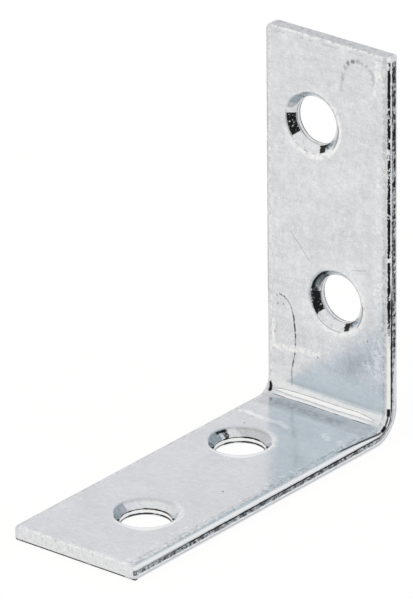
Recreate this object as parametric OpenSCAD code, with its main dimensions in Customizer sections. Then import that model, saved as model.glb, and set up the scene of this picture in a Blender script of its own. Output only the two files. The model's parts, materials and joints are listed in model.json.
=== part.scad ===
// Corner brace: one flat steel strip, bent square, with two countersunk screw holes in each leg.
// Lengths are in millimetres. The origin is the middle of the underside of the foot.
// The foot lies along X, the wall leg stands at its +X end, and the strip's width is along Y.

/* [Strip] */
// Outside length of the foot, the leg that lies flat
foot_length = 40; // [35:1:100]
// Outside length of the wall leg, the leg that stands up
wall_length = 40; // [35:1:100]
// Width of the strip
strip_width = 15; // [13:0.5:40]
// Thickness of the strip
strip_thickness = 1.5; // [1:0.1:2.5]

/* [Bend] */
// Radius of the inside of the bend
inner_bend_radius = 1.5; // [0.5:0.1:4]

/* [Screw holes] */
// Diameter of the straight bore that the screw's shank passes through
bore_diameter = 5; // [4:0.1:6]
// Diameter of the countersink where it opens on the inside face
countersink_diameter = 6.4; // [6.1:0.1:7.5]
// Full angle of the countersink, to suit the screw's head
countersink_angle = 90; // [80:1:120]
// Distance between a leg's two holes, along the leg
hole_pitch = 17.9; // [8:0.1:19]
// Sideways distance between a leg's two holes, which keeps two screws out of one line of grain
hole_stagger = 2.9; // [0:0.1:3.5]
// Distance from the foot's free end to its first hole
foot_end_margin = 9.8; // [5:0.1:12]
// Distance from the wall leg's free end to its first hole
wall_end_margin = 9; // [5:0.1:12]
// How far the foot's pair of holes sits off the strip's centre line
foot_pair_shift = 0.65; // [-1:0.05:1]
// How far the wall leg's pair of holes sits off the strip's centre line
wall_pair_shift = 0.35; // [-1:0.05:1]

/* [Sheared long edges] */
// How far the shears' roll reaches in over the inside face
roll_width = 0.8; // [0.3:0.05:1]
// How far the roll reaches down the strip's side
roll_height = 0.4; // [0.15:0.05:0.5]
// Height of the smooth band that the shears burnish below the roll
burnish_height = 0.1; // [0.05:0.05:0.2]
// Height of the rough band below that, where the metal tore off
fracture_height = 0.5; // [0.2:0.05:0.6]
// Depth of the rough band at its top, where it steps back from the burnished band
fracture_depth = 0.08; // [0.03:0.01:0.15]

/* [Other edges] */
// Radius worn onto every edge of the outside face
outside_edge_radius = 0.2; // [0.1:0.05:0.25]
// Radius on the edge of the inside face at the two free ends
end_edge_radius = 0.15; // [0.1:0.05:0.3]
// Radius of each leg's free corner on the +Y side
round_corner_radius = 0.8; // [0.3:0.1:3]
// Radius of each leg's free corner on the -Y side
sharp_corner_radius = 0.25; // [0.1:0.05:3]

/* [Hidden] */
$fn = 96;
// How far a cutter runs past the face that it opens
overcut = 1;
outer_bend_radius = inner_bend_radius + strip_thickness;
wall_face_x = foot_length / 2;
countersink_slope = tan(countersink_angle / 2);
countersink_depth = (countersink_diameter - bore_diameter) / 2 / countersink_slope;
// The roll is an arc that runs flush out of the inside face and meets the side at a blunt edge.
roll_radius = (roll_width ^ 2 + roll_height ^ 2) / 2 / roll_height;
fracture_top = strip_thickness - roll_height - burnish_height;

// What a quarter round of this radius takes off a square corner that points to +x and +y.
module corner_waste(radius) {
    translate([-radius, -radius])
        difference() {
            square(radius + overcut);
            circle(radius);
        }
}

// A rectangle from the origin, with a round of its own on each of its four corners.
module rounded_rectangle(size, near_left, near_right, far_right, far_left) {
    difference() {
        square(size);
        if (near_left > 0) rotate(180) corner_waste(near_left);
        if (near_right > 0) translate([size.x, 0]) rotate(-90) corner_waste(near_right);
        if (far_right > 0) translate([size.x, size.y]) corner_waste(far_right);
        if (far_left > 0) translate([0, size.y]) rotate(90) corner_waste(far_left);
    }
}

// What the shears roll and tear off the strip's side at x = 0, where the strip lies towards -x.
module shear_waste() {
    difference() {
        translate([-roll_width, strip_thickness - roll_height])
            square([roll_width + overcut, roll_height + overcut]);
        translate([-roll_width, strip_thickness - roll_radius])
            circle(roll_radius);
    }
    polygon([
        [overcut, fracture_top],
        [-fracture_depth, fracture_top],
        [0, fracture_top - fracture_height],
        [overcut, fracture_top - fracture_height]
    ]);
}

// The strip cut across: its outside face lies on the x axis and its inside face is the top.
module strip_section() {
    difference() {
        translate([-strip_width / 2, 0])
            rounded_rectangle(
                [strip_width, strip_thickness],
                outside_edge_radius, outside_edge_radius, 0, 0
            );
        for (side = [0, 1])
            mirror([side, 0])
                translate([strip_width / 2, 0])
                    shear_waste();
    }
}

// A straight bore with its countersink, cut down from the plane z = 0 through the strip.
module screw_hole() {
    translate([0, 0, -strip_thickness - overcut])
        cylinder(d = bore_diameter, h = strip_thickness + 2 * overcut);
    translate([0, 0, -countersink_depth])
        cylinder(
            d1 = bore_diameter,
            d2 = countersink_diameter + 2 * overcut * countersink_slope,
            h = countersink_depth + overcut
        );
}

// The straight part of a leg, from the end of the bend at x = 0, with its outside face on z = 0.
// The hole near the free end lies on the +Y side for a side of 1 and on the -Y side for -1.
module leg(length, end_margin, pair_shift, side) {
    straight = length - outer_bend_radius;
    difference() {
        intersection() {
            rotate([90, 0, 90])
                linear_extrude(straight)
                    strip_section();
            translate([0, strip_width / 2, 0])
                rotate([90, 0, 0])
                    linear_extrude(strip_width)
                        rounded_rectangle(
                            [straight, strip_thickness],
                            0, outside_edge_radius, end_edge_radius, 0
                        );
            translate([0, -strip_width / 2, 0])
                linear_extrude(strip_thickness)
                    rounded_rectangle(
                        [straight, strip_width],
                        0, sharp_corner_radius, round_corner_radius, 0
                    );
        }
        for (place = [0, 1])
            translate([
                straight - end_margin - place * hole_pitch,
                pair_shift + side * hole_stagger * (1 / 2 - place),
                strip_thickness
            ])
                screw_hole();
    }
}

// The quarter turn between the legs: the strip's section swept round the bend's axis.
module bend() {
    translate([wall_face_x - outer_bend_radius, 0, outer_bend_radius])
        rotate([90, 90, 0])
            rotate_extrude(angle = 90)
                translate([outer_bend_radius, 0])
                    rotate(90)
                        strip_section();
}

// The whole bracket, which is one piece of metal.
module brace() {
    color("gainsboro")
        union() {
            translate([wall_face_x - outer_bend_radius, 0, 0])
                mirror([1, 0, 0])
                    leg(foot_length, foot_end_margin, foot_pair_shift, -1);
            bend();
            translate([wall_face_x, 0, outer_bend_radius])
                rotate([0, -90, 0])
                    leg(wall_length, wall_end_margin, wall_pair_shift, 1);
        }
}

brace();
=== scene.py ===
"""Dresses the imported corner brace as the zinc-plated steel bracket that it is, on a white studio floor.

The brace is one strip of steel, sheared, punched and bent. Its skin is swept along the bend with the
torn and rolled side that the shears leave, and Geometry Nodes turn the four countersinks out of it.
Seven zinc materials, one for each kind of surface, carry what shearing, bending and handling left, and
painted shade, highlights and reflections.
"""

import json
import math

import bmesh
import bpy
import numpy as np
from bpy.props import FloatProperty, FloatVectorProperty, IntProperty, PointerProperty
from mathutils import Euler, Matrix, Vector


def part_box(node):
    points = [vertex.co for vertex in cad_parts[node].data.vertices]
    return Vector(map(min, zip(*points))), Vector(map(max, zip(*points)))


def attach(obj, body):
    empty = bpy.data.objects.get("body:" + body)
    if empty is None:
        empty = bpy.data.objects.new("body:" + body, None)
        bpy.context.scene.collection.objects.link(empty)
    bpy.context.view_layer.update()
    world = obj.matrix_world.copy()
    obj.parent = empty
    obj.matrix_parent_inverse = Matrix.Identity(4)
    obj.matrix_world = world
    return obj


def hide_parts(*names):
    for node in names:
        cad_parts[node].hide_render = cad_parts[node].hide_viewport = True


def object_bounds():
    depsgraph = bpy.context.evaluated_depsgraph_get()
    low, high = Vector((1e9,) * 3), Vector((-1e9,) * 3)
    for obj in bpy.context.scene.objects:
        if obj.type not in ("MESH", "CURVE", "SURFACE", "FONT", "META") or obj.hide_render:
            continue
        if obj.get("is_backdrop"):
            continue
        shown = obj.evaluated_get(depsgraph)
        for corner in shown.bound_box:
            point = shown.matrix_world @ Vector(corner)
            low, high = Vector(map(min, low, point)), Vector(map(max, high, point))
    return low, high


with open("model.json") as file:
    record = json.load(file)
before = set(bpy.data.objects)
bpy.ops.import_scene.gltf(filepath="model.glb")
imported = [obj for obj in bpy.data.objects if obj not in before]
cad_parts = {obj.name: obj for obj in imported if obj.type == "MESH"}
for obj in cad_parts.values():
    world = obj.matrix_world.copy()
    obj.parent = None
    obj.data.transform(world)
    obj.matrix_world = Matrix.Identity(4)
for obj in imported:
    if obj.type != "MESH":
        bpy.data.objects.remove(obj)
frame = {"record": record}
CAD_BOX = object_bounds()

MM = 0.001
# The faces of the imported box, in millimetres.
FOOT_END = CAD_BOX[0][0] / MM
WALL_FACE, HALF_WIDTH, WALL_TOP = (side / MM for side in CAD_BOX[1])
HOLES = {
    mount["name"].replace("_", " ").title(): mount
    for mount in frame["record"]["mounts"] if mount["kind"] == "bore"
}
SIZE_INPUTS = ("Thickness", "Bore Radius", "Rim Radius", "Rim Round")

bl_info = {
    "name": "Corner brace",
    "version": (1, 0, 0),
    "blender": (4, 5, 0),
    "location": "3D View > Sidebar > Brace",
    "description": "Builds the zinc-plated skin of a bent steel corner brace and the studio round it",
    "category": "Object",
}


def length(name, description, millimetres):
    """A size, given in millimetres and kept in metres."""
    return FloatProperty(name=name, description=description, default=millimetres * MM, unit="LENGTH")


def angle(name, description, degrees):
    """An angle, given in degrees and kept in radians."""
    return FloatProperty(
        name=name, description=description, default=math.radians(degrees), subtype="ANGLE")


def share(name, description, default):
    """A value from 0 to 1."""
    return FloatProperty(
        name=name, description=description, default=default, min=0.0, max=1.0, subtype="FACTOR")


def colour(name, description, default, most=1.0):
    """A colour, in linear light."""
    return FloatVectorProperty(
        name=name, description=description, default=default, subtype="COLOR", min=0.0, max=most)


class BraceSizes(bpy.types.PropertyGroup):
    """Sizes of the strip, of its bend and of its holes."""

    thickness: length("Thickness", "Thickness of the strip", 1.5)
    inner_bend_radius: length("Inner bend radius", "Radius of the inside of the bend", 1.5)
    roll_width: length("Roll width", "How far the shears' roll reaches in over the inside face", 0.8)
    roll_height: length("Roll height", "How far the shears' roll reaches down the side", 0.4)
    burnish_height: length("Burnish height", "Height of the smooth band below the roll", 0.1)
    fracture_height: length("Fracture height", "Height of the torn band below the burnished one", 0.5)
    fracture_depth: length("Fracture depth", "Depth of the torn band at its top", 0.08)
    fracture_roughness: share(
        "Fracture roughness", "How unevenly the metal tore, as a share of its depth", 0.45)
    outside_edge_radius: length("Outside edge radius", "Wear on every edge of the outside face", 0.2)
    end_edge_radius: length("End edge radius", "Round on the inside face's edge at the free ends", 0.15)
    round_corner_radius: length("Round corner radius", "Radius of the free corners on the +Y side", 0.8)
    sharp_corner_radius: length("Sharp corner radius", "Radius of the free corners on the -Y side", 0.25)
    bend_draw_in: length("Bend draw-in", "How far the outside of the bend is drawn in at the sides", 0.12)
    bore_radius: length(
        "Bore radius", "Radius of the straight bores", HOLES["Foot End Hole"]["dims"]["r_mm"])
    rim_radius: length("Countersink radius", "Radius of a countersink where it opens", 3.2)
    rim_round: length("Rim round", "Radius worn on a countersink's rim", 0.7)
    station_step: length("Station step", "Distance between the skin's sections along a leg", 0.16)
    tear_seed: IntProperty(
        name="Tear seed", description="Seed of the torn band's unevenness", default=11)


class ZincFinish(bpy.types.PropertyGroup):
    """Colours and gloss of the zinc plate."""

    plate: colour("Plate", "Colour of the bright zinc plate", (0.662, 0.75, 0.815))
    torn: colour("Torn metal", "Colour of the torn band on the strip's sides", (0.28, 0.33, 0.36))
    # The rubbed-white colour is also laid as painted highlights.
    bare_and_highlight: colour("Rubbed plate", "Colour of plate rubbed or knocked white", (0.85, 0.955, 1.0))
    # The stain colour is also laid as painted shade and painted dark reflections.
    dirt_and_shade: colour("Stain", "Colour of dark scratches and stains", (0.012, 0.014, 0.016))
    # Colour of bluish dark patches in the countersinks, on the wall holes a painted reflection of the foot.
    bluish_dark: colour("Tarnish", "Colour of tarnished patches in the countersinks", (0.10, 0.135, 0.165))
    plate_gloss: share("Plate roughness", "Roughness of the rolled faces", 0.17)
    turned_gloss: share("Countersink roughness", "Roughness of the turned countersinks", 0.09)
    torn_gloss: share("Torn roughness", "Roughness of the torn bands", 0.5)


class StudioSetup(bpy.types.PropertyGroup):
    """Camera, floor and light."""

    azimuth: angle("Azimuth", "Turn of the camera round the brace, from the -Y side", -51.021)
    elevation: angle("Elevation", "Height of the camera's line of sight above the floor", 24.275)
    roll: angle("Roll", "Tilt of the camera about its line of sight", -0.513)
    distance: length("Distance", "Distance from the camera to the point that it circles", 814.73)
    aim: FloatVectorProperty(
        name="Aim", description="Point that the camera circles and the lamps are placed round",
        default=(5 * MM, 0.0, 15 * MM), subtype="TRANSLATION")
    slide: FloatVectorProperty(
        name="Slide", description="How far the camera is slid right and up in its own plane",
        size=2, default=(-3.06 * MM, 2.546 * MM), unit="LENGTH")
    lens: FloatProperty(
        name="Lens", description="Focal length for a 36 mm picture height, in millimetres",
        default=514.81)
    white: FloatProperty(
        name="White", description="Strength of the white that surrounds the brace",
        default=1.0, min=0.0)
    back_light: colour("Back light", "Colour of the light from the -X side", (1.062, 0.944, 0.883), 2.0)
    side_light: colour("Side light", "Colour of the light from the +X side", (0.955, 0.868, 0.839), 2.0)
    shadow_share: share("Shadow share", "How much of the floor's tone is its own lit surface", 0.08)


def mouth(mount, height):
    """The centre of a hole where it opens on the inside face, this far along its mount's axis."""
    return Vector(mount["pos_m"]) + Vector(mount["axis"]) * height


def end_inset(distance, radius):
    """How far a quarter round of this radius cuts in, at this distance from the strip's end."""
    reach = np.clip(radius - distance, 0.0, radius)
    return radius - np.sqrt(np.maximum(radius**2 - reach**2, 0.0))


def smoothed(values, passes):
    """Rows of random values, each blended with its neighbours along the strip."""
    for _ in range(passes):
        values = 0.25 * np.roll(values, 1, 0) + 0.5 * values + 0.25 * np.roll(values, -1, 0)
    return values / values.std()


class StripSkin:
    """The skin of the bent strip: one closed section, carried along the foot, the bend and the wall leg."""

    def __init__(self, sizes, box):
        low, high = box
        self.sizes = sizes
        self.foot_end = low.x
        self.wall_face = high.x
        self.top = high.z
        self.half_width = high.y
        self.outer_bend = sizes.inner_bend_radius + sizes.thickness
        self.random = np.random.default_rng(sizes.tear_seed)

    def side_outline(self):
        """Points up the sheared side: distance in from the side, height above the outside face, tear."""
        sizes = self.sizes
        worn = sizes.outside_edge_radius
        roll_foot = sizes.thickness - sizes.roll_height
        tear_top = roll_foot - sizes.burnish_height
        points = [
            (worn * (1 - math.sin(turn)), worn * (1 - math.cos(turn)), 0.0)
            for turn in np.radians((0, 18, 36, 54, 72, 90))
        ]
        for share in np.linspace(0, 1, 12):
            height = tear_top - (1 - share) * sizes.fracture_height
            points.append((share * sizes.fracture_depth, height, min(1.0, 4 * share)))
        eased = 0.02 * MM
        points.append((0.3 * sizes.fracture_depth, tear_top + 0.2 * eased, 0.5))
        points.append((0.0, tear_top + eased, 0.0))
        points.append((0.0, roll_foot - eased, 0.0))
        roll_radius = (sizes.roll_width**2 + sizes.roll_height**2) / 2 / sizes.roll_height
        start = math.asin(sizes.roll_width / roll_radius)
        for turn in start * np.linspace(0.97, 0, 11):
            points.append((
                sizes.roll_width - roll_radius * math.sin(turn),
                sizes.thickness - roll_radius * (1 - math.cos(turn)),
                0.0,
            ))
        return np.array(points)

    def stations(self):
        """Where the sections stand: distance from the free end, turn round the bend, and leg (0 or 1)."""
        sizes = self.sizes
        radii = (sizes.round_corner_radius, sizes.outside_edge_radius)
        near_end = sorted({
            round(radius * (1 - math.cos(turn)), 9)
            for radius in radii
            for turn in np.radians((0, 7, 14, 22, 30, 39, 48, 58, 68, 79, 90))
        })
        rows = []
        for leg, length in enumerate((self.wall_face - self.foot_end, self.top)):
            straight = length - self.outer_bend
            count = round((straight - near_end[-1]) / sizes.station_step)
            distances = near_end + list(np.linspace(near_end[-1], straight, count + 1)[1:])
            quarter = [(distance, math.radians(90) * leg, leg) for distance in distances]
            rows.append(quarter if leg == 0 else quarter[::-1])
        foot_straight = rows[0][-1][0]
        bend = [(foot_straight, turn, 0) for turn in np.radians(np.linspace(0, 90, 31))[1:-1]]
        return rows[0] + bend + rows[1]

    def place(self, station, across, height):
        """A point of the section at a station, in the brace's frame."""
        distance, turn, leg = station
        reach = self.outer_bend - height
        centre = self.wall_face - self.outer_bend
        if leg == 1:
            return (centre + reach, across, self.top - distance)
        if turn == 0:
            return (self.foot_end + distance, across, height)
        return (centre + reach * math.sin(turn), across, self.outer_bend - reach * math.cos(turn))

    def build(self):
        """The closed mesh."""
        sizes = self.sizes
        outline = self.side_outline()
        stations = self.stations()
        tears = [smoothed(self.random.normal(size=(len(stations), len(outline))), 2) for _ in range(2)]
        steps = [smoothed(self.random.normal(size=(len(stations), 1)), 6) for _ in range(2)]
        step_wander = 0.018 * MM
        most_raised = 0.7
        face_edge = self.half_width - sizes.outside_edge_radius
        inner_edge = self.half_width - sizes.roll_width
        outside = np.linspace(-face_edge, face_edge, 17)[1:-1]
        inside = np.linspace(inner_edge, -inner_edge, 15)[1:-1]
        rings = []
        for row, station in enumerate(stations):
            distance, turn, leg = station
            # The press flattens the torn band in the bend and draws the outside in.
            bent = math.sin(2 * turn) if leg == 0 else 0.0
            lowest = end_inset(distance, sizes.outside_edge_radius)
            highest = sizes.thickness - end_inset(distance, sizes.end_edge_radius)
            drawn = sizes.bend_draw_in * bent * np.clip(1 - outline[:, 1] / sizes.thickness, 0, 1)
            torn = outline[:, 2] * (1 - 0.8 * bent)
            depth = outline[:, 0] * np.where(outline[:, 2] > 0, 1 - 0.6 * bent, 1.0)
            sides = []
            for side, radius in enumerate((sizes.round_corner_radius, sizes.sharp_corner_radius)):
                uneven = sizes.fracture_roughness * sizes.fracture_depth * tears[side][row]
                inset = depth + np.maximum(torn * uneven, -most_raised * depth * (outline[:, 2] > 0))
                height = outline[:, 1] + torn * step_wander * steps[side][row]
                inset = inset + drawn + end_inset(distance, radius)
                sides.append((self.half_width - inset, np.clip(height, lowest, highest)))
            (left, left_heights), (right, right_heights) = sides
            below = np.interp(outside, (-face_edge, face_edge), (-right[0], left[0]))
            above = np.interp(inside, (-inner_edge, inner_edge), (-right[-1], left[-1]))
            across = np.concatenate([below, left, above, -right[::-1]])
            heights = np.concatenate([
                np.full(len(below), lowest), left_heights,
                np.full(len(above), highest), right_heights[::-1]])
            rings.append([self.place(station, y, height) for y, height in zip(across, heights)])
        return self.closed(rings)

    def closed(self, rings):
        """Joins the sections ring to ring, closes both ends and turns every face outwards."""
        mesh = bmesh.new()
        rows = [[mesh.verts.new(point) for point in ring] for ring in rings]
        size = len(rings[0])
        for row, following in zip(rows, rows[1:]):
            for i in range(size):
                mesh.faces.new((row[i], row[(i + 1) % size], following[(i + 1) % size], following[i]))
        mesh.faces.new(rows[0])
        mesh.faces.new(rows[-1])
        bmesh.ops.remove_doubles(mesh, verts=mesh.verts, dist=1e-8)
        bmesh.ops.recalc_face_normals(mesh, faces=mesh.faces)
        result = bpy.data.meshes.new("brace_metal")
        mesh.to_mesh(result)
        mesh.free()
        return result


def operators(operation):
    """A Math node's operation as a Python operator, and as its reflected form."""
    def straight(self, other):
        return self.math(operation, self, other)

    def reflected(self, other):
        return self.math(operation, other, self)

    return straight, reflected


class Wire:
    """One output of a node. Arithmetic on it adds the Math nodes that work the result out."""

    def __init__(self, nodes, socket):
        self.nodes = nodes
        self.socket = socket

    def __repr__(self):
        """Names the socket, so that a tree can tell which nodes it has made before."""
        return f"wire {self.socket.as_pointer()}"

    def math(self, operation, *values, clamp=False):
        settings = {"operation": operation, "use_clamp": clamp}
        return self.nodes.add("ShaderNodeMath", settings, dict(enumerate(values)))

    __add__, __radd__ = operators("ADD")
    __sub__, __rsub__ = operators("SUBTRACT")
    __mul__, __rmul__ = operators("MULTIPLY")
    __truediv__, __rtruediv__ = operators("DIVIDE")
    __pow__, __rpow__ = operators("POWER")
    low, high = operators("MINIMUM")[0], operators("MAXIMUM")[0]

    def __neg__(self):
        return self.math("MULTIPLY", self, -1.0)

    def __abs__(self):
        return self.math("ABSOLUTE", self)

    def root(self):
        return self.math("SQRT", self)

    def held(self):
        return self.math("ADD", self, 0.0, clamp=True)

    def rise(self, start, end):
        """0 below start, 1 above end, and a smooth step between them."""
        settings = {"interpolation_type": "SMOOTHSTEP"}
        values = {"Value": self, "From Min": start, "From Max": end}
        return self.nodes.add("ShaderNodeMapRange", settings, values)

    def fall(self, start, end):
        """1 below start, 0 above end."""
        return 1.0 - self.rise(start, end)

    def band(self, start, end, soft):
        """1 between start and end, 0 outside, with soft edges centred on them."""
        return self.rise(start - soft, start + soft) * self.fall(end - soft, end + soft)


class Nodes:
    """A node tree, written to through one method."""

    def __init__(self, tree):
        self.tree = tree
        self.made = {}

    def add(self, kind, settings=None, values=None, out=0):
        """Adds a node: its settings first, then its sockets by name or number. Gives one output.

        A node that was made before with the same settings and values is used again.
        """
        settings, values = settings or {}, values or {}
        key = repr((kind, settings, values))
        if key not in self.made:
            node = self.made[key] = self.tree.nodes.new(kind)
            for name, value in settings.items():
                setattr(node, name, value)
            for name, value in values.items():
                self.feed(node.inputs[name], value)
        node = self.made[key]
        return Wire(self, node.outputs[out]) if node.outputs else None

    def feed(self, socket, value):
        """Sets or links a socket. One that takes several links is fed a list."""
        if isinstance(value, Wire):
            self.tree.links.new(value.socket, socket)
        elif isinstance(value, list):
            for each in value:
                self.feed(socket, each)
        else:
            socket.default_value = value


class HoleTree(Nodes):
    """Geometry Nodes: a cutter turned from named sizes, set at the four holes and cut out of the strip."""

    def __init__(self):
        super().__init__(bpy.data.node_groups.new("countersunk_holes", "GeometryNodeTree"))
        new_socket = self.tree.interface.new_socket
        kinds = {
            "Strip": "Geometry", **dict.fromkeys(SIZE_INPUTS, "Float"),
            **dict.fromkeys(HOLES, "Vector"), "Metal": "Material",
        }
        self.identifiers = {
            name: new_socket(name, in_out="INPUT", socket_type="NodeSocket" + kind).identifier
            for name, kind in kinds.items()
        }
        new_socket("Brace", in_out="OUTPUT", socket_type="NodeSocketGeometry")
        self.inputs = {name: self.add("NodeGroupInput", out=name) for name in kinds}

    def step(self, kind, settings=None, **values):
        """Adds a geometry node. Its sockets are named with _ for each space."""
        values = {name.replace("_", " "): value for name, value in values.items()}
        return self.add("GeometryNode" + kind, settings, values)

    def outline_point(self, radius, height):
        """A point of the cutter's outline. Swept round the circle, the outline's -Y becomes up."""
        place = self.add("ShaderNodeCombineXYZ", None, {"X": radius, "Y": height * -1.0, "Z": 0.0})
        return self.step("Points", Count=1, Position=place)

    def outline(self):
        """The cutter's outline, from its axis below the strip to its axis above the strip."""
        thickness, bore, rim, rim_round = (self.inputs[name] for name in SIZE_INPUTS)
        past = thickness * -1.6
        cone_slope = 45.0
        tangent = math.tan(math.radians(cone_slope / 2))
        corner = []
        for turn in (0.0, 9.0, 18.0, 27.0, 36.0, 43.0):
            # The rim's round starts on the cone, a tangent's length below the corner.
            slope = math.radians(cone_slope - turn)
            out = rim + rim_round * (tangent - math.sin(slope))
            corner.append(self.outline_point(out, rim_round * (math.cos(slope) - 1.0)))
        flare = rim + rim_round * tangent
        clear = 0.002 * MM
        points = [
            self.outline_point(0.0, past),
            self.outline_point(bore, past),
            self.outline_point(bore, bore - rim),
            *corner,
            self.outline_point(flare, clear),
            self.outline_point(flare, thickness),
            self.outline_point(0.0, thickness),
        ]
        return self.step("PointsToCurves", Points=self.step("JoinGeometry", Geometry=points[::-1]))

    def cutter(self):
        """The outline turned about the hole's axis. A circle of no account carries it round."""
        carrier = 1.0 * MM
        circle = self.step("CurvePrimitiveCircle", Resolution=144, Radius=carrier)
        level = self.step("SetCurveNormal", {"mode": "Z_UP"}, Curve=circle)
        shifted = self.step("Transform", Geometry=self.outline(), Translation=(-carrier, 0.0, 0.0))
        turned = self.step("CurveToMesh", Curve=level, Profile_Curve=shifted)
        outward = self.step("FlipFaces", Mesh=turned)
        return self.step("MergeByDistance", Geometry=outward, Distance=1e-7)

    def build(self):
        """The whole tree, from the plain strip to the drilled brace."""
        cutter = self.cutter()
        cutters = []
        for axis, turn in ((2, 0.0), (0, -90.0)):
            spots = [
                self.step("Points", Count=1, Position=self.inputs[name])
                for name, mount in HOLES.items() if mount["axis"][axis]
            ]
            cutters.append(self.step(
                "InstanceOnPoints", Points=self.step("JoinGeometry", Geometry=spots),
                Instance=cutter, Rotation=(0.0, math.radians(turn), 0.0)))
        solid = self.step("RealizeInstances", Geometry=self.step("JoinGeometry", Geometry=cutters))
        manner = {"operation": "DIFFERENCE", "solver": "MANIFOLD"}
        cut = self.add("GeometryNodeMeshBoolean", manner, {0: self.inputs["Strip"], 1: solid})
        smooth = self.step("SetShadeSmooth", Geometry=cut, Shade_Smooth=True)
        fold = self.step("InputMeshEdgeAngle")
        sharp = fold.math("GREATER_THAN", fold, math.radians(38))
        creased = self.step(
            "SetShadeSmooth", {"domain": "EDGE"}, Geometry=smooth, Selection=sharp, Shade_Smooth=False)
        whole = self.step("RealizeInstances", Geometry=creased)
        metal = self.step("SetMaterial", Geometry=whole, Material=self.inputs["Metal"])
        self.add("NodeGroupOutput", None, {0: metal})


class Graph(Nodes):
    """The nodes of a material or of the world."""

    def __init__(self, owner):
        owner.use_nodes = True
        super().__init__(owner.node_tree)
        self.tree.nodes.clear()

    def mix(self, share, first, second, blend="MIX"):
        """Colours blended by a share."""
        tones = [tone if isinstance(tone, Wire) else (*tone[:3], 1.0) for tone in (first, second)]
        settings = {"data_type": "RGBA", "blend_type": blend}
        return self.add("ShaderNodeMix", settings, {0: share, 6: tones[0], 7: tones[1]}, 2)

    def split(self, vector):
        return [self.add("ShaderNodeSeparateXYZ", None, {0: vector}, out) for out in range(3)]

    def joined(self, x, y, z):
        return self.add("ShaderNodeCombineXYZ", None, {"X": x, "Y": y, "Z": z})

    def shaded(self, colour, tone):
        """A colour made lighter or darker all round."""
        return self.mix(1.0, colour, self.joined(tone, tone, tone), "MULTIPLY")


def stroke(first, second, start, end):
    """Distance on a face, in millimetres, from the straight line between two of its points."""
    run = (end[0] - start[0], end[1] - start[1])
    square = run[0] ** 2 + run[1] ** 2
    from_first, from_second = first - start[0], second - start[1]
    share = ((from_first * run[0] + from_second * run[1]) / square).held()
    return ((from_first - share * run[0]) ** 2.0 + (from_second - share * run[1]) ** 2.0).root()


def track(first, second, points):
    """Distance on a face from a line through several of its points."""
    nearest = None
    for start, end in zip(points, points[1:]):
        distance = stroke(first, second, start, end)
        nearest = distance if nearest is None else nearest.low(distance)
    return nearest


def spot(first, second, centre):
    """Distance on a face from one of its points."""
    return ((first - centre[0]) ** 2.0 + (second - centre[1]) ** 2.0).root()


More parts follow.
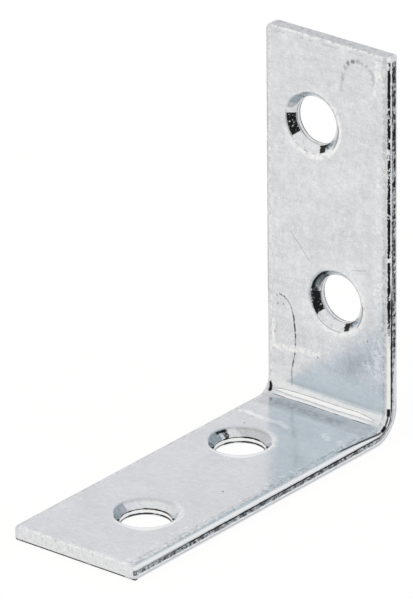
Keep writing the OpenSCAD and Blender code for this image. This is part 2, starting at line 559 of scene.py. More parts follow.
class Plate(Graph):
    """A zinc plate material: cloudy bright metal, over which each surface lays marks of its own, among them
    painted shade, highlights and reflections.

    Places and widths of marks are in mm. The other numbers are shares, or levels of a noise.
    """

    def __init__(self, name, finish, marks):
        self.material = bpy.data.materials.new(name)
        super().__init__(self.material)
        self.finish = finish
        coordinates = self.add("ShaderNodeTexCoord", out="Object")
        scaled = {0: coordinates, 1: (1 / MM, 1 / MM, 1 / MM)}
        self.place = self.add("ShaderNodeVectorMath", {"operation": "MULTIPLY"}, scaled)
        self.x, self.y, self.z = self.split(self.place)
        strip = self.add("ShaderNodeAttribute", {"attribute_name": "strip"}, out="Vector")
        self.along, self.across, self.height = self.split(strip)
        # The wall leg was handled more, so it is cloudier and duller than the foot.
        self.on_wall = self.along.rise(1.5, 5.0)
        clouds = self.noise(0.22, 3.0, 0.55, 0.3) - 0.5
        grain = self.noise(1.7, 4.0, 0.65) - 0.5
        fine = self.noise(6.0, 2.0, 0.6) - 0.5
        rolled = self.drawn_out(0.25, 2.4, 3.0, 0.7) - 0.5
        mottle = clouds * 0.22 + grain * 0.30 + fine * 0.30 + rolled * 0.22
        self.colour = self.shaded(finish.plate, 1.0 + mottle * (0.8 + self.on_wall * 0.45))
        self.gloss = finish.plate_gloss + self.on_wall * 0.05 + clouds * 0.10 + grain * 0.12
        self.relief = grain * 0.25 + fine * 0.12
        specks = self.add("ShaderNodeTexVoronoi", None, {"Vector": self.place, "Scale": 1.1})
        self.rub_and_highlight(specks.fall(0.10, 0.20) * self.patchy(0.5, 0.5, 0.62, 1.0) * 0.55, 0.15)
        smears = self.patchy(0.42, 0.50, 0.62) * self.on_wall
        self.rub_and_highlight(smears * self.patchy(1.9, 0.42, 0.60) * 0.40, 0.12)
        self.stain_and_shade(self.patchy(0.62, 0.54, 0.66) * self.on_wall * 0.05)
        marks(self)
        relief = {"Strength": 0.35, "Distance": 0.03 * MM, "Height": self.relief}
        bump = self.add("ShaderNodeBump", None, relief)
        skin = self.add("ShaderNodeBsdfPrincipled", None, {
            "Base Color": self.colour, "Metallic": 1.0, "Roughness": self.gloss.held(), "Normal": bump})
        self.add("ShaderNodeOutputMaterial", None, {"Surface": skin})

    def lay(self, share, tone, gloss=0.0):
        """Covers the plate with a tone, by a share, and makes it rougher there."""
        self.colour = self.mix(share.held(), self.colour, tone)
        if gloss:
            self.gloss = self.gloss + share * gloss

    # Lays the stain colour: for real stains, and for painted shade and painted dark reflections.
    def stain_and_shade(self, share):
        self.lay(share, self.finish.dirt_and_shade)

    # Lays the rubbed-white colour: for real rubs and knocks, and for painted highlights.
    def rub_and_highlight(self, share, gloss=0.0):
        self.lay(share, self.finish.bare_and_highlight, gloss)

    def noise(self, scale, detail=3.0, roughness=0.6, distortion=0.0, place=None):
        """Smooth random values from 0 to 1, about 0.5."""
        return self.add("ShaderNodeTexNoise", None, {
            "Vector": place or self.place, "Scale": scale, "Detail": detail,
            "Roughness": roughness, "Distortion": distortion,
        })

    def sway(self, scale, reach, detail=3.0):
        """Smooth random values about 0, which make a straight edge wander."""
        return (self.noise(scale, detail) - 0.5) * reach

    def patchy(self, scale, low, high, detail=3.0):
        """Ragged patches: 0 outside and 1 inside."""
        return self.noise(scale, detail, 0.65).rise(low, high)

    def drawn_out(self, stretch, scale, detail, roughness):
        """Noise drawn out along the bracket's width, or along its legs for a stretch above 1."""
        place = self.joined(self.x, self.y * stretch, self.z)
        return self.noise(scale, detail, roughness, place=place)


def plain_marks(zinc):
    """The outside faces carry only a few scuffs."""
    zinc.rub_and_highlight(zinc.patchy(0.35, 0.56, 0.66) * zinc.patchy(2.0, 0.45, 0.6) * 0.4, 0.15)


def speckle(zinc, first, second, share, spots):
    """Dark specks, each with its centre and radius."""
    for centre, radius in spots:
        zinc.stain_and_shade(spot(first, second, centre).fall(radius * 0.3, radius) * share)


def end_spot(zinc):
    """Painted shade where the press pushed out the +Y end of the bend."""
    shade_distance = stroke(zinc.across + zinc.sway(2.0, 0.5), zinc.along, (6.78, 0.5), (6.5, -0.15))
    zinc.stain_and_shade(shade_distance.fall(0.12, 0.28) * zinc.height.rise(1.0, 1.2))


def under_line(zinc):
    """Painted shade along the lower edge of the foot's free end, where it stands on the floor."""
    under = zinc.x.fall(FOOT_END + 0.28, FOOT_END + 0.38) * zinc.z.fall(0.19, 0.25)
    zinc.stain_and_shade(under * (0.5 + zinc.patchy(0.9, 0.3, 0.45) * 0.5))


def hairline(zinc):
    """A long curved scratch on the wall leg that runs down into the bend."""
    curve = (
        (5.75, 12.1), (5.2, 11.95), (4.7, 11.6), (4.3, 11.0), (3.98, 9.9),
        (3.8, 8.2), (3.86, 6.4), (4.28, 4.4), (4.25, 2.8))
    line = track(zinc.across, zinc.z, curve)
    blots = zinc.patchy(2.2, 0.42, 0.56)
    zinc.stain_and_shade((line - blots * 0.04).fall(0.02, 0.08) * (0.48 + blots * 0.45))
    zinc.relief = zinc.relief - line.fall(0.0, 0.1) * 0.3


def side_marks(zinc):
    """The sheared sides: a torn band between bright ones, with dark lines where they meet. The roll's
    bright band is partly a painted highlight, and some dark lines are painted shade and reflections.
    """
    finish, along, across, height = zinc.finish, zinc.along, zinc.across, zinc.height
    on_wall = along.rise(0.4, 3.0)
    inset = HALF_WIDTH - abs(across)
    side = inset.fall(0.22, 0.34)
    wobble = zinc.sway(1.4, 0.14)
    uneven = height + wobble
    blots = zinc.noise(1.7, 3.0, 0.65)
    roll = height.rise(1.14, 1.22)
    shade = roll * inset.band(0.42 - on_wall * 0.18, 0.72, 0.05)
    shade = shade * (1.0 - on_wall * across.rise(0.0, 1.0) * 0.6)
    zinc.stain_and_shade(shade * (0.08 + blots.rise(0.4, 0.6) * 0.2))
    knocked = roll * inset.band(0.45, 0.8, 0.08)
    zinc.rub_and_highlight(knocked * zinc.patchy(2.2, 0.47, 0.57) * 0.6, 0.2)
    # Burnished bands, with a painted highlight on the roll.
    bright = side * (height.band(1.16 - on_wall * 0.18, 1.45, 0.03) + height.fall(0.22, 0.28))
    zinc.rub_and_highlight(bright * (0.85 - on_wall * 0.25), 0.03)
    foot_side = side * (1.0 - on_wall)
    zinc.rub_and_highlight(foot_side * uneven.band(0.39, 0.55, 0.03) * blots.rise(0.34, 0.56) * 0.8, 0.2)
    zinc.stain_and_shade(foot_side * height.band(0.22, 0.37, 0.03) * 0.22)
    streaks = zinc.drawn_out(1.6, 2.2, 5.0, 0.75)
    up_wall = along.rise(5.0, 9.0)
    torn_tone = 0.28 - up_wall * 0.22 + streaks.rise(0.39, 0.65) * 1.9
    torn = zinc.shaded(finish.torn, torn_tone)
    tear = side * uneven.band(0.55 + on_wall * 0.06 - up_wall * 0.29, 0.9 - on_wall * 0.04, 0.035)
    tear = tear * along.fall(37.4, 37.7) * (0.6 + abs(along).rise(1.0, 2.4) * 0.4)
    zinc.lay(tear, torn, finish.torn_gloss - finish.plate_gloss)
    # Painted shade under the step below the roll, more of it towards the bend.
    step = side * uneven.band(0.88 - on_wall * 0.08, 1.08 + on_wall * 0.02, 0.03) * along.fall(12.0, 15.5)
    step_shade = (0.8 + blots.rise(0.3, 0.42) * 0.2) * (0.6 + along.rise(-34.0, -28.0) * 0.4)
    zinc.stain_and_shade(step * step_shade)
    wall_dark = side * uneven.band(0.36, 0.6, 0.05) * up_wall * along.fall(37.4, 37.7)
    zinc.stain_and_shade(wall_dark * streaks.fall(0.46, 0.58) * 0.8)
    # Painted reflection: a dashed dark line along the wall's roll.
    roll_reflection = side * (height + (streaks - 0.5) * 0.25).band(1.12, 1.33, 0.03)
    roll_reflection = roll_reflection * along.rise(7.5, 11.0) * along.fall(37.5, 37.8)
    dashes = blots.rise(0.38, 0.46)
    zinc.stain_and_shade(roll_reflection * dashes)
    zinc.gloss = zinc.gloss + roll_reflection * (1.0 - dashes) * 0.45
    # Painted shade where the press pushed out the front edge of the bend, and a thin dark line that runs on
    # from there along the foot.
    front = side * (-across).rise(0.0, 1.0)
    way = along + wobble * 2.5
    zinc.stain_and_shade(front * way.band(0.85, 1.6, 0.07) * height.band(1.12, 1.4, 0.04))
    zinc.stain_and_shade(front * way.band(-0.1, 0.9, 0.06) * uneven.band(1.19, 1.32, 0.03) * 0.9)
    zinc.stain_and_shade(front * way.band(-0.55, 0.0, 0.06) * height.band(1.1, 1.45, 0.04))
    roll_line = abs(across + (HALF_WIDTH - 0.12) + along * 0.06 - wobble * 0.4).fall(0.04, 0.13)
    zinc.stain_and_shade(roll_line * height.rise(1.1, 1.2) * along.band(-6.8, -0.4, 0.6) * 0.9)
    end_spot(zinc)
    under_line(zinc)
    zinc.relief = zinc.relief + (streaks - 0.5) * tear * 3.0 + (blots - 0.5) * roll * on_wall * 2.0


def bend_marks(zinc):
    """Inside the bend: a painted highlight shaped like a lens between thin painted dark reflections, and
    painted shade at one end.
    """
    along, across = zinc.along, zinc.across
    wavy = (zinc.drawn_out(0.35, 0.9, 2.0, 0.5) - 0.5) * 0.18
    way = along + wavy
    taper = 1.0 - (abs(across) / 6.3).low(1.0) ** 5.0
    upper = 0.08 + taper * 0.34
    lower = 0.06 - taper * 0.1
    inner = zinc.height.rise(1.2, 1.4)
    worn = 0.5 + zinc.patchy(1.8, 0.4, 0.6) * 0.5
    # Lighter on the wall side of the bend, darker on its foot side, with a light line near the foot:
    # painted reflections of the curve.
    zinc.rub_and_highlight(inner * along.rise(0.2, 0.5) * along.fall(0.7, 2.1) * worn * 0.34)
    zinc.stain_and_shade(inner * along.band(-2.7, -0.45, 0.3) * (0.12 + zinc.patchy(1.0, 0.4, 0.6) * 0.06))
    zinc.rub_and_highlight(inner * way.band(-0.42, -0.2, 0.03) * abs(across).fall(5.0, 6.2) * 0.75)
    # Painted highlight shaped like a lens, and painted dark reflections along its edges and near the foot.
    lens = inner * way.rise(lower - 0.02, lower + 0.12) * way.fall(upper - 0.1, upper + 0.01)
    zinc.rub_and_highlight(lens * 0.95, 0.12)
    for edge, reach, share in ((upper, 0.055, 0.55), (lower - 0.03, 0.05, 0.42)):
        line = inner * abs(way - edge).fall(0.01, reach) * taper.rise(0.0, 0.2)
        zinc.stain_and_shade(line * (0.5 + zinc.patchy(1.1, 0.4, 0.6) * 0.5) * share)
    broken = zinc.drawn_out(0.7, 0.8, 3.0, 0.6).rise(0.4, 0.56)
    line = inner * abs(way + 0.47).fall(0.015, 0.065) * taper.rise(0.1, 0.4)
    zinc.stain_and_shade(line * (0.15 + broken * 0.7))
    # A broad darker band across the bend near the foot.
    broad_band = stroke(along, across, (-1.5, 4.6), (-1.7, -3.2)).fall(0.1, 1.1) * inner
    zinc.stain_and_shade(broad_band * (0.25 + zinc.patchy(2.4, 0.4, 0.62) * 0.5) * 0.42)
    hairline(zinc)
    end_spot(zinc)
    tool = zinc.noise(1.0, place=zinc.joined(zinc.x * 7.0, zinc.y * 0.25, zinc.z * 7.0))
    zinc.relief = zinc.relief + (tool - 0.5) * inner * abs(along).fall(1.0, 1.3) * 1.2


def end_marks(zinc):
    """The sheared free ends, rougher than the faces, with painted highlights along their edges."""
    x, z = zinc.x, zinc.z
    foot_end = x.fall(FOOT_END + 0.05, FOOT_END + 0.12)
    wall_end = z.rise(WALL_TOP - 0.12, WALL_TOP - 0.05)
    rough = zinc.noise(2.4, 4.0, 0.7)
    sheared = zinc.noise(1.9, 4.0, 0.7, place=zinc.joined(x, zinc.y * 1.2, z * 0.9))
    zinc.rub_and_highlight(foot_end * (0.1 + rough.rise(0.44, 0.62) * 0.35), 0.2)
    zinc.stain_and_shade(foot_end * sheared.fall(0.36, 0.48) * 0.16)
    zinc.rub_and_highlight(wall_end * rough.rise(0.54, 0.66) * 0.22, 0.2)
    zinc.stain_and_shade(wall_end * (0.16 + sheared.fall(0.38, 0.52) * 0.22))
    under_line(zinc)
    # Painted highlights along the inside face's edge at each free end.
    pale = zinc.noise(3.0, 3.0, 0.7)
    foot_edge = x.fall(FOOT_END + 0.28, FOOT_END + 0.42) * z.rise(1.3, 1.42)
    zinc.rub_and_highlight(foot_edge * pale.rise(0.45, 0.55) * 0.9, 0.2)
    wall_edge = z.rise(WALL_TOP - 0.2, WALL_TOP - 0.14) * x.fall(WALL_FACE - 1.4, WALL_FACE - 1.32)
    zinc.rub_and_highlight(wall_edge * pale.rise(0.4, 0.52) * 0.8, 0.1)
    zinc.relief = zinc.relief + foot_end.high(wall_end) * (rough - 0.5) * 2.0


def hole_marks(zinc):
    """Turned countersinks with dark patches, most of them painted reflections, lands with painted dark
    reflections at top and bottom, and a painted highlight round each rim.
    """
    finish = zinc.finish
    hole = zinc.add("ShaderNodeAttribute", {"attribute_name": "hole"}, out="Vector")
    right, down, level = zinc.split(hole)
    away = (right ** 2.0 + down ** 2.0).root()
    opening = level.rise(0.5, 0.7)
    turned = away.fall(3.05, 3.15)
    cone = turned * opening
    wall = zinc.x.rise(17.0, 17.4)
    foot = 1.0 - wall
    by_bend = abs(zinc.along).fall(19.9, 20.1)
    # Directions at a foot hole: sideways, and near towards the corner at -X and -Y.
    sideways = right * 0.629 + down * 0.777
    nearer = down * 0.629 - right * 0.777
    ragged = zinc.noise(2.1, 4.0, 0.7)
    sway = zinc.sway(1.3, 0.6)
    specks = zinc.noise(4.5, 2.0, 0.6)
    # A ragged painted highlight round each rim, with bumps.
    rim_highlight = away.band(3.12, 3.7, 0.1) * opening
    where = wall * (0.6 + right * 0.12 + down * 0.1) + foot * (sideways * 0.2 + nearer * 0.15)
    rim_highlight = rim_highlight * where.held()
    zinc.rub_and_highlight(rim_highlight * (ragged + sway * 0.2).rise(0.42, 0.54) * 1.1, 0.15)
    zinc.rub_and_highlight(turned * 0.1)
    zinc.gloss = zinc.gloss + turned * (finish.turned_gloss - finish.plate_gloss)
    zinc.stain_and_shade(turned * ragged.fall(0.36, 0.46) * 0.15)
    # Bluish dark patches cover part of a cone, with a clear edge; on the wall holes they are a painted
    # reflection of the foot.
    bluish_patches = foot * right.fall(0.22, 0.4) * down.fall(-1.8, -1.4) * 0.5
    bluish_patches = bluish_patches + foot * by_bend * right.rise(1.9, 2.2) * 0.3
    bluish_patches = bluish_patches + wall * stroke(right, down, (-2.75, -1.25), (-2.0, -2.15)).fall(0.35, 0.55) * 0.42
    zinc.lay(bluish_patches * cone * (0.8 + specks * 0.4), finish.bluish_dark)
    # Painted highlight near the top of each wall countersink.
    light = wall * cone * down.fall(-2.35, -2.1) * right.band(-1.5, 1.2, 0.2)
    zinc.rub_and_highlight(light * (0.4 + specks * 0.5), 0.3)
    # Dark patches along lines: on the wall holes painted reflections of dark surroundings, and a dark bar
    # in the foot's hole by the bend.
    dark_patches = (
        (wall * by_bend, (-2.75, -0.75), (-1.7, -2.4), 0.45, 0.6, 0.4),
        (wall * by_bend, (-2.85, -0.6), (-2.45, 1.85), 0.26, 0.97, 0.8),
        (wall, (0.95, 2.25), (1.32, 2.95), 0.36, 0.98, 1.0),
        (foot * by_bend, (0.95, -2.95), (0.95, -2.45), 0.26, 0.97, 0.5),
    )
    for mask, start, end, reach, share, solid in dark_patches:
        distance = stroke(right, down, start, end) + sway * 0.5 + (specks - 0.5) * 0.5
        stain_and_shade = distance.fall(reach - 0.07, reach + 0.07)
        filled = solid + specks.rise(0.36, 0.5) * (1.0 - solid)
        zinc.stain_and_shade(stain_and_shade * mask * cone * filled * share)
    # Painted reflection of dark surroundings: a sector of each wall countersink is black right across.
    black = wall * cone * right.fall(-1.4, -1.2) * (down - right * 0.09).rise(-0.04, 0.04)
    black = black * (down + right * 0.81 + sway * 0.3).fall(-0.06, 0.06)
    zinc.stain_and_shade(black * (1.0 - specks.rise(0.6, 0.66) * 0.7))
    # Painted shade along parts of the rims and just outside them.
    outlined = wall * down.fall(-0.8, -0.4) * right.fall(-1.2, -0.8)
    outlined = outlined + foot * down.fall(-2.35, -2.15) * right.band(0.0, 1.3, 0.15)
    rim = abs(away + sway * 0.25 - 3.0).fall(0.06, 0.17) * opening * by_bend
    zinc.stain_and_shade(rim * outlined * 0.95)
    thin = abs(away - 3.16).fall(0.015, 0.06) * opening * wall * (down - right).rise(2.0, 3.0)
    zinc.stain_and_shade(thin * zinc.patchy(0.9, 0.36, 0.5) * 0.45)
    crescent = away.band(3.16, 3.36, 0.05) * opening * wall
    crescent = crescent * right.rise(2.3, 2.8) * down.rise(-0.8, -0.2)
    zinc.stain_and_shade(crescent * 0.55)
    arc = abs(away - 3.1).fall(0.05, 0.25) * opening * foot * nearer.fall(-2.0, -1.0)
    zinc.stain_and_shade(arc * 0.16)
    # Painted highlight on the near lip of each foot hole.
    lip = foot * opening * away.rise(3.1, 3.16) * nearer.rise(1.6, 2.0)
    zinc.rub_and_highlight(lip * (nearer + sideways ** 2.0 * 0.24).fall(3.92, 4.1), -0.05)
    zinc.stain_and_shade(spot(right, down, (3.32, -2.1)).fall(0.05, 0.17) * foot * by_bend * 0.6)
    # Painted reflections on the lands: a light band on the foot's, and dark lines near the top and the
    # bottom of every land.
    land = away.fall(2.51, 2.53)
    thick = zinc.patchy(0.55, 0.42, 0.52)
    zinc.rub_and_highlight(land * foot * level.band(0.28, 0.55, 0.05) * 0.8)
    broad = 0.03 + thick * 0.05
    foot_lines = abs(level - 0.63).fall(broad, broad + 0.03) + abs(level - 0.16).fall(broad, broad + 0.03)
    zinc.stain_and_shade(land * foot * foot_lines.held() * 0.97)
    wall_lines = level.band(0.44, 0.52, 0.03) + level.fall(0.06, 0.14)
    zinc.stain_and_shade(land * wall * wall_lines * (0.6 + thick * 0.4))
    zinc.relief = zinc.relief + rim_highlight * (ragged - 0.5) * 0.3


def wall_marks(zinc):
    """What shearing and handling left on the wall leg's inside face, and painted shade along its -Y edge.
    """
    y, z = zinc.across, zinc.z
    inset = HALF_WIDTH + y
    knocks = (inset - zinc.sway(0.5, 2.2)).band(0.7, 1.7, 0.2)
    clumps = zinc.patchy(0.45, 0.46, 0.56) * 0.7 + 0.2
    zinc.rub_and_highlight(knocks * zinc.patchy(2.4, 0.46, 0.56) * clumps * 0.95, 0.1)
    # Painted shade where the face rolls over at the -Y edge.
    zinc.stain_and_shade(inset.fall(0.75, 0.95) * zinc.patchy(1.6, 0.42, 0.6) * 0.14)
    hairline(zinc)
    zinc.stain_and_shade(track(y, z, ((4.4, 19.1), (3.2, 17.8), (2.1, 16.6))).fall(0.01, 0.08) * 0.35)
    zinc.stain_and_shade(stroke(y, z, (-3.2, 16.96), (-4.8, 17.33)).fall(0.01, 0.07) * 0.3)
    scuff = track(y, z, ((6.6, 9.0), (6.7, 6.7), (6.0, 6.25), (4.7, 6.6), (2.6, 6.85), (1.0, 6.85)))
    zinc.rub_and_highlight(scuff.fall(0.16, 0.5) * zinc.patchy(2.6, 0.4, 0.5), 0.05)
    # Darker low on the wall towards +Y.
    low_darkening = z.fall(8.5, 10.5) * y.rise(0.0, 3.0)
    zinc.stain_and_shade(low_darkening * (0.02 + zinc.patchy(1.2, 0.4, 0.6) * 0.07))
    patch = track(y, z, ((-4.7, 7.6), (-5.4, 6.9), (-6.4, 6.3), (-6.2, 8.0)))
    zinc.rub_and_highlight(patch.fall(0.1, 0.6) * zinc.patchy(1.9, 0.4, 0.55) * 0.75, 0.2)
    ring = track(y, z, (
        (-5.6, 36.8), (-5.7, 37.8), (-4.8, 38.6), (-3.8, 38.8), (-2.8, 38.5), (-2.1, 37.5), (-1.95, 35.4)))
    stained = ring.fall(0.05, 0.35) * zinc.patchy(2.6, 0.38, 0.56)
    zinc.stain_and_shade(stained * (0.26 + spot(y, z, (-2.9, 38.6)).fall(0.4, 1.3) * 0.38))
    speckle(zinc, y, z, 0.45, (
        ((5.95, 11.0), 0.17), ((6.05, 11.85), 0.16), ((5.25, 11.1), 0.15), ((6.35, 7.95), 0.19),
        ((-5.0, 10.0), 0.2), ((-3.4, 10.4), 0.16), ((1.1, 6.6), 0.2),
    ))
    below = z.band(WALL_TOP - 0.55, WALL_TOP - 0.38, 0.05)
    zinc.stain_and_shade(below * zinc.patchy(1.6, 0.5, 0.6) * 0.2)


def foot_marks(zinc):
    """Shade along the roll, dark specks and pale knocks on the foot's inside face."""
    x, y = zinc.x, zinc.across
    inset = HALF_WIDTH + y - zinc.sway(0.9, 0.5)
    zinc.stain_and_shade(inset.fall(0.9, 1.15) * (0.03 + zinc.patchy(1.8, 0.42, 0.6) * 0.3))
    knocks = inset.band(0.8, 1.7, 0.2)
    zinc.rub_and_highlight(knocks * zinc.patchy(2.2, 0.5, 0.6) * zinc.patchy(0.4, 0.44, 0.56) * 0.7, 0.15)
    speckle(zinc, x, y, 0.75, (((12.7, 4.6), 0.17), ((11.2, 4.3), 0.14), ((-2.25, -3.75), 0.16)))
    pale = stroke(x, y, (13.6, -3.6), (12.9, -4.5)).low(stroke(x, y, (13.3, -5.7), (12.6, -6.5)))
    pale = pale.low(spot(x, y, (-12.2, 2.6)))
    pale = pale.low(track(x, y, ((13.1, 6.2), (13.2, 5.4), (12.9, 3.2), (13.2, 1.6), (12.7, 0.4))))
    zinc.rub_and_highlight(pale.fall(0.15, 0.5) * zinc.patchy(2.2, 0.36, 0.5) * 0.95, 0.1)
    below = x.band(FOOT_END + 0.34, FOOT_END + 0.55, 0.06)
    zinc.stain_and_shade(below * zinc.patchy(1.6, 0.5, 0.6) * 0.2)


SURFACES = {
    "plain": plain_marks,
    "side": side_marks,
    "bend": bend_marks,
    "end": end_marks,
    "hole": hole_marks,
    "wall": wall_marks,
    "foot": foot_marks,
}


def strip_place(points, sizes):
    """Where points lie on the strip, in mm: along it from the bend's middle, across it, and how high."""
    inner = sizes.inner_bend_radius / MM
    outer = inner + sizes.thickness / MM
    over = points[:, 0] - (WALL_FACE - outer)
    down = outer - points[:, 2]
    past, below = np.maximum(over, 0), np.maximum(down, 0)
    along = inner * (np.arctan2(past, below) - math.pi / 4) + np.minimum(over, 0) - np.minimum(down, 0)
    bent = (over > 0) & (down > 0)
    height = outer - np.where(bent, np.hypot(past, below), np.maximum(over, down))
    return np.stack([along, points[:, 1], height], axis=1)


def hole_place(points):
    """Where points lie from the nearest hole's axis, in mm (right, down and level), and how far off."""
    places, distances = [], []
    foot_top, wall_back = 3.0, 17.0
    out_of_reach = 100.0
    for mount in HOLES.values():
        away = points - np.array(mount["pos_m"]) / MM
        if mount["axis"][2]:
            place = np.stack([away[:, 0], -away[:, 1], points[:, 2]], axis=1)
            other_leg = points[:, 2] > foot_top
        else:
            place = np.stack([-away[:, 1], -away[:, 2], WALL_FACE - points[:, 0]], axis=1)
            other_leg = points[:, 0] < wall_back
        places.append(place)
        distances.append(np.hypot(place[:, 0], place[:, 1]) + out_of_reach * other_leg)
    nearest = np.argmin(distances, axis=0)
    return np.array(places)[nearest, np.arange(len(points))], np.min(distances, axis=0)


def vectors(elements, name):
    """One vector of each of a mesh's elements, in mm."""
    flat = np.empty(len(elements) * 3)
    elements.foreach_get(name, flat)
    return flat.reshape(-1, 3) / MM


def mark_surfaces(mesh, sizes):
    """Writes each point's place on the strip and from its hole, and gives each face its surface."""
    points = vectors(mesh.vertices, "co")
    for name, rows in (("strip", strip_place(points, sizes)), ("hole", hole_place(points)[0])):
        attribute = mesh.attributes.new(name, "FLOAT_VECTOR", "POINT")
        attribute.data.foreach_set("vector", rows.ravel())
    centres = vectors(mesh.polygons, "center")
    along, across, height = strip_place(centres, sizes).T
    from_hole = hole_place(centres)[1]
    inside = height > (sizes.thickness / MM) * 0.8
    bend_reach, hole_reach, end_reach, end_margin = 2.8, 4.3, 0.4, 0.9
    at_end = (centres[:, 0] < FOOT_END + end_reach) | (centres[:, 2] > WALL_TOP - end_reach)
    names = list(SURFACES)
    surface = np.full(len(mesh.polygons), names.index("plain"))
    for name, chosen in (
        ("foot", inside & (along < 0)),
        ("wall", inside & (along > 0)),
        ("bend", inside & (abs(along) < bend_reach)),
        ("hole", from_hole < hole_reach),
        ("side", abs(across) > HALF_WIDTH - sizes.roll_width / MM),
        ("end", at_end & (abs(across) < HALF_WIDTH - end_margin)),
    ):
        surface[chosen] = names.index(name)
    mesh.polygons.foreach_set("material_index", surface.astype(np.int32))


def placed(name, data):
    """A new object at the origin, in the scene."""
    made = bpy.data.objects.new(name, data)
    bpy.context.scene.collection.objects.link(made)
    return made


class BRACE_OT_metal(bpy.types.Operator):
    """Build the bent, sheared and countersunk strip with its zinc finish"""

    bl_idname = "brace.metal"
    bl_label = "Build the brace"

    def execute(self, context):
        sizes, finish = context.scene.brace_sizes, context.scene.brace_finish
        metals = [Plate("zinc_" + name, finish, marks).material for name, marks in SURFACES.items()]
        blank = placed("brace_blank", StripSkin(sizes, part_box("brace")).build())
        holes = HoleTree()
        holes.build()
        modifier = blank.modifiers.new("holes", "NODES")
        modifier.node_group = holes.tree
        values = dict(zip(SIZE_INPUTS, (
            sizes.thickness, sizes.bore_radius, sizes.rim_radius, sizes.rim_round)))
        for name, mount in HOLES.items():
            values[name] = mouth(mount, sizes.thickness - HOLES["Foot End Hole"]["pos_m"][2])
        values["Metal"] = metals[0]
        for name, value in values.items():
            modifier[holes.identifiers[name]] = value
        weighted = blank.modifiers.new("weighted_normals", "WEIGHTED_NORMAL")
        weighted.keep_sharp = True
        graph = context.evaluated_depsgraph_get()
        mesh = bpy.data.meshes.new_from_object(
            blank.evaluated_get(graph), preserve_all_data_layers=True, depsgraph=graph)
        fewest_faces = 1000
        if len(mesh.polygons) < fewest_faces:
            raise RuntimeError("the countersinks could not be cut out of the strip")
        bpy.data.objects.remove(blank)
        mesh.name = "brace_metal"
        mesh.materials.clear()
        for metal in metals:
            mesh.materials.append(metal)
        mark_surfaces(mesh, sizes)
        piece = placed("brace_metal", mesh)
        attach(piece, "root")
        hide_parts("brace")
        return {"FINISHED"}


def seen_white(graph):
    """1 for the camera, for reflections and for what shows through, 0 for light that falls on things."""
    rays = ("Is Camera Ray", "Is Glossy Ray", "Is Transmission Ray")
    camera, glossy, through = (graph.add("ShaderNodeLightPath", out=ray) for ray in rays)
    return (camera + glossy + through).held()


def white_floor(setup):
    """A white floor that keeps a soft shadow."""
    material = bpy.data.materials.new("white_floor")
    graph = Graph(material)
    matt = graph.add("ShaderNodeBsdfDiffuse", None, {"Color": (0.95, 1.0, 1.0, 1.0)})
    white = graph.add("ShaderNodeEmission", None, {"Strength": setup.white})
    share = seen_white(graph) * (1.0 - setup.shadow_share)
    both = graph.add("ShaderNodeMixShader", None, {0: share, 1: matt, 2: white})
    graph.add("ShaderNodeOutputMaterial", None, {"Surface": both})
    return material


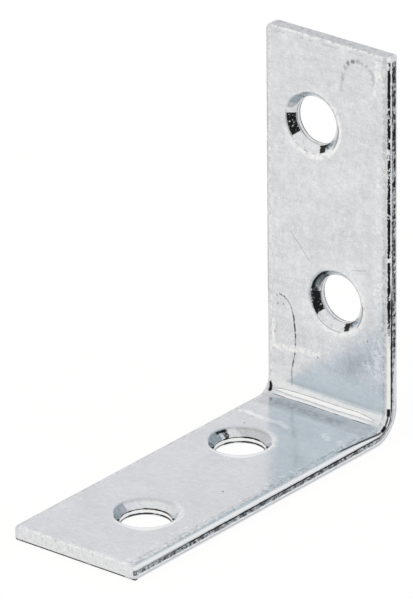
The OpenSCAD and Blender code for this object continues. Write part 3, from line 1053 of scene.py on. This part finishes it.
class BRACE_OT_studio(bpy.types.Operator):
    """Set up the white floor, the light and the camera"""

    bl_idname = "brace.studio"
    bl_label = "Set up the studio"

    def execute(self, context):
        scene, setup = context.scene, context.scene.brace_studio
        scene.world = self.world(setup)
        self.floor(setup)
        self.lamps(setup)
        scene.camera = self.camera(setup)
        scene.view_settings.view_transform = "Standard"
        return {"FINISHED"}

    def world(self, setup):
        """White to the camera. Everything else gets a soft light that is a little dimmer from +X."""
        world = bpy.data.worlds.new("studio_white")
        graph = Graph(world)
        direction = graph.add("ShaderNodeTexCoord", out="Generated")
        share = graph.split(direction)[0].rise(-0.7, 0.7)
        light = graph.mix(share, setup.back_light, setup.side_light)
        camera_ray = graph.add("ShaderNodeLightPath", out="Is Camera Ray")
        seen = graph.mix(camera_ray, light, (setup.white, setup.white, setup.white))
        background = graph.add("ShaderNodeBackground", None, {"Color": seen, "Strength": 1.0})
        graph.add("ShaderNodeOutputWorld", None, {"Surface": background})
        return world

    def floor(self, setup):
        reach = 2.5
        corners = [(-reach, -reach, 0), (reach, -reach, 0), (reach, reach, 0), (-reach, reach, 0)]
        mesh = bpy.data.meshes.new("studio_floor")
        mesh.from_pydata(corners, [], [(0, 1, 2, 3)])
        mesh.materials.append(white_floor(setup))
        floor = placed("studio_floor", mesh)
        floor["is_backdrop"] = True
        # The metal mirrors the studio's white below it, which is the floor's own tone.
        floor.visible_glossy = False

    def lamps(self, setup):
        target = Vector((0, 0, 10 * MM))
        distance, size = 0.9, 0.6
        for name, azimuth, elevation, power in (
            ("key_softbox", 140, 55, 1.0),
            ("fill_softbox", -60, 60, 0.6),
        ):
            lamp = bpy.data.lights.new(name, "AREA")
            lamp.size = size
            lamp.energy = power
            away = Vector((distance, 0, 0))
            away.rotate(Euler((0, -math.radians(elevation), math.radians(azimuth))))
            stand = placed(name, lamp)
            stand.location = Vector(setup.aim) + away
            stand.rotation_euler = (target - stand.location).to_track_quat("-Z", "Y").to_euler()
            stand.visible_glossy = False

    def camera(self, setup):
        upright = math.radians(90)
        turned = Euler((upright - setup.elevation, 0, setup.azimuth)).to_matrix()
        turned = turned @ Matrix.Rotation(setup.roll, 3, "Z")
        place = Vector(setup.aim) + turned @ Vector((*setup.slide, setup.distance))
        data = bpy.data.cameras.new("studio_camera")
        data.lens = setup.lens
        data.clip_start = 0.01
        stand = placed("studio_camera", data)
        stand.matrix_world = Matrix.Translation(place) @ turned.to_4x4()
        return stand


class BRACE_PT_panel(bpy.types.Panel):
    """The brace's builders"""

    bl_idname = "BRACE_PT_panel"
    bl_label = "Corner brace"
    bl_space_type = "VIEW_3D"
    bl_region_type = "UI"
    bl_category = "Brace"

    def draw(self, context):
        for operator in (BRACE_OT_metal, BRACE_OT_studio):
            self.layout.operator(operator.bl_idname)
        for holder in GROUPS:
            group = getattr(context.scene, holder)
            for name in group.__annotations__:
                self.layout.prop(group, name)


GROUPS = {"brace_sizes": BraceSizes, "brace_finish": ZincFinish, "brace_studio": StudioSetup}
CLASSES = (*GROUPS.values(), BRACE_OT_metal, BRACE_OT_studio, BRACE_PT_panel)


def register():
    for cls in CLASSES:
        bpy.utils.register_class(cls)
    for holder, group in GROUPS.items():
        setattr(bpy.types.Scene, holder, PointerProperty(type=group))


def unregister():
    for holder in GROUPS:
        delattr(bpy.types.Scene, holder)
    for cls in reversed(CLASSES):
        bpy.utils.unregister_class(cls)


def main():
    register()
    bpy.ops.brace.metal()
    bpy.ops.brace.studio()
    boxes = {
        "cad": [list(corner) for corner in CAD_BOX],
        "visual": [list(corner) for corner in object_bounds()],
    }


if __name__ == "__main__":
    main()
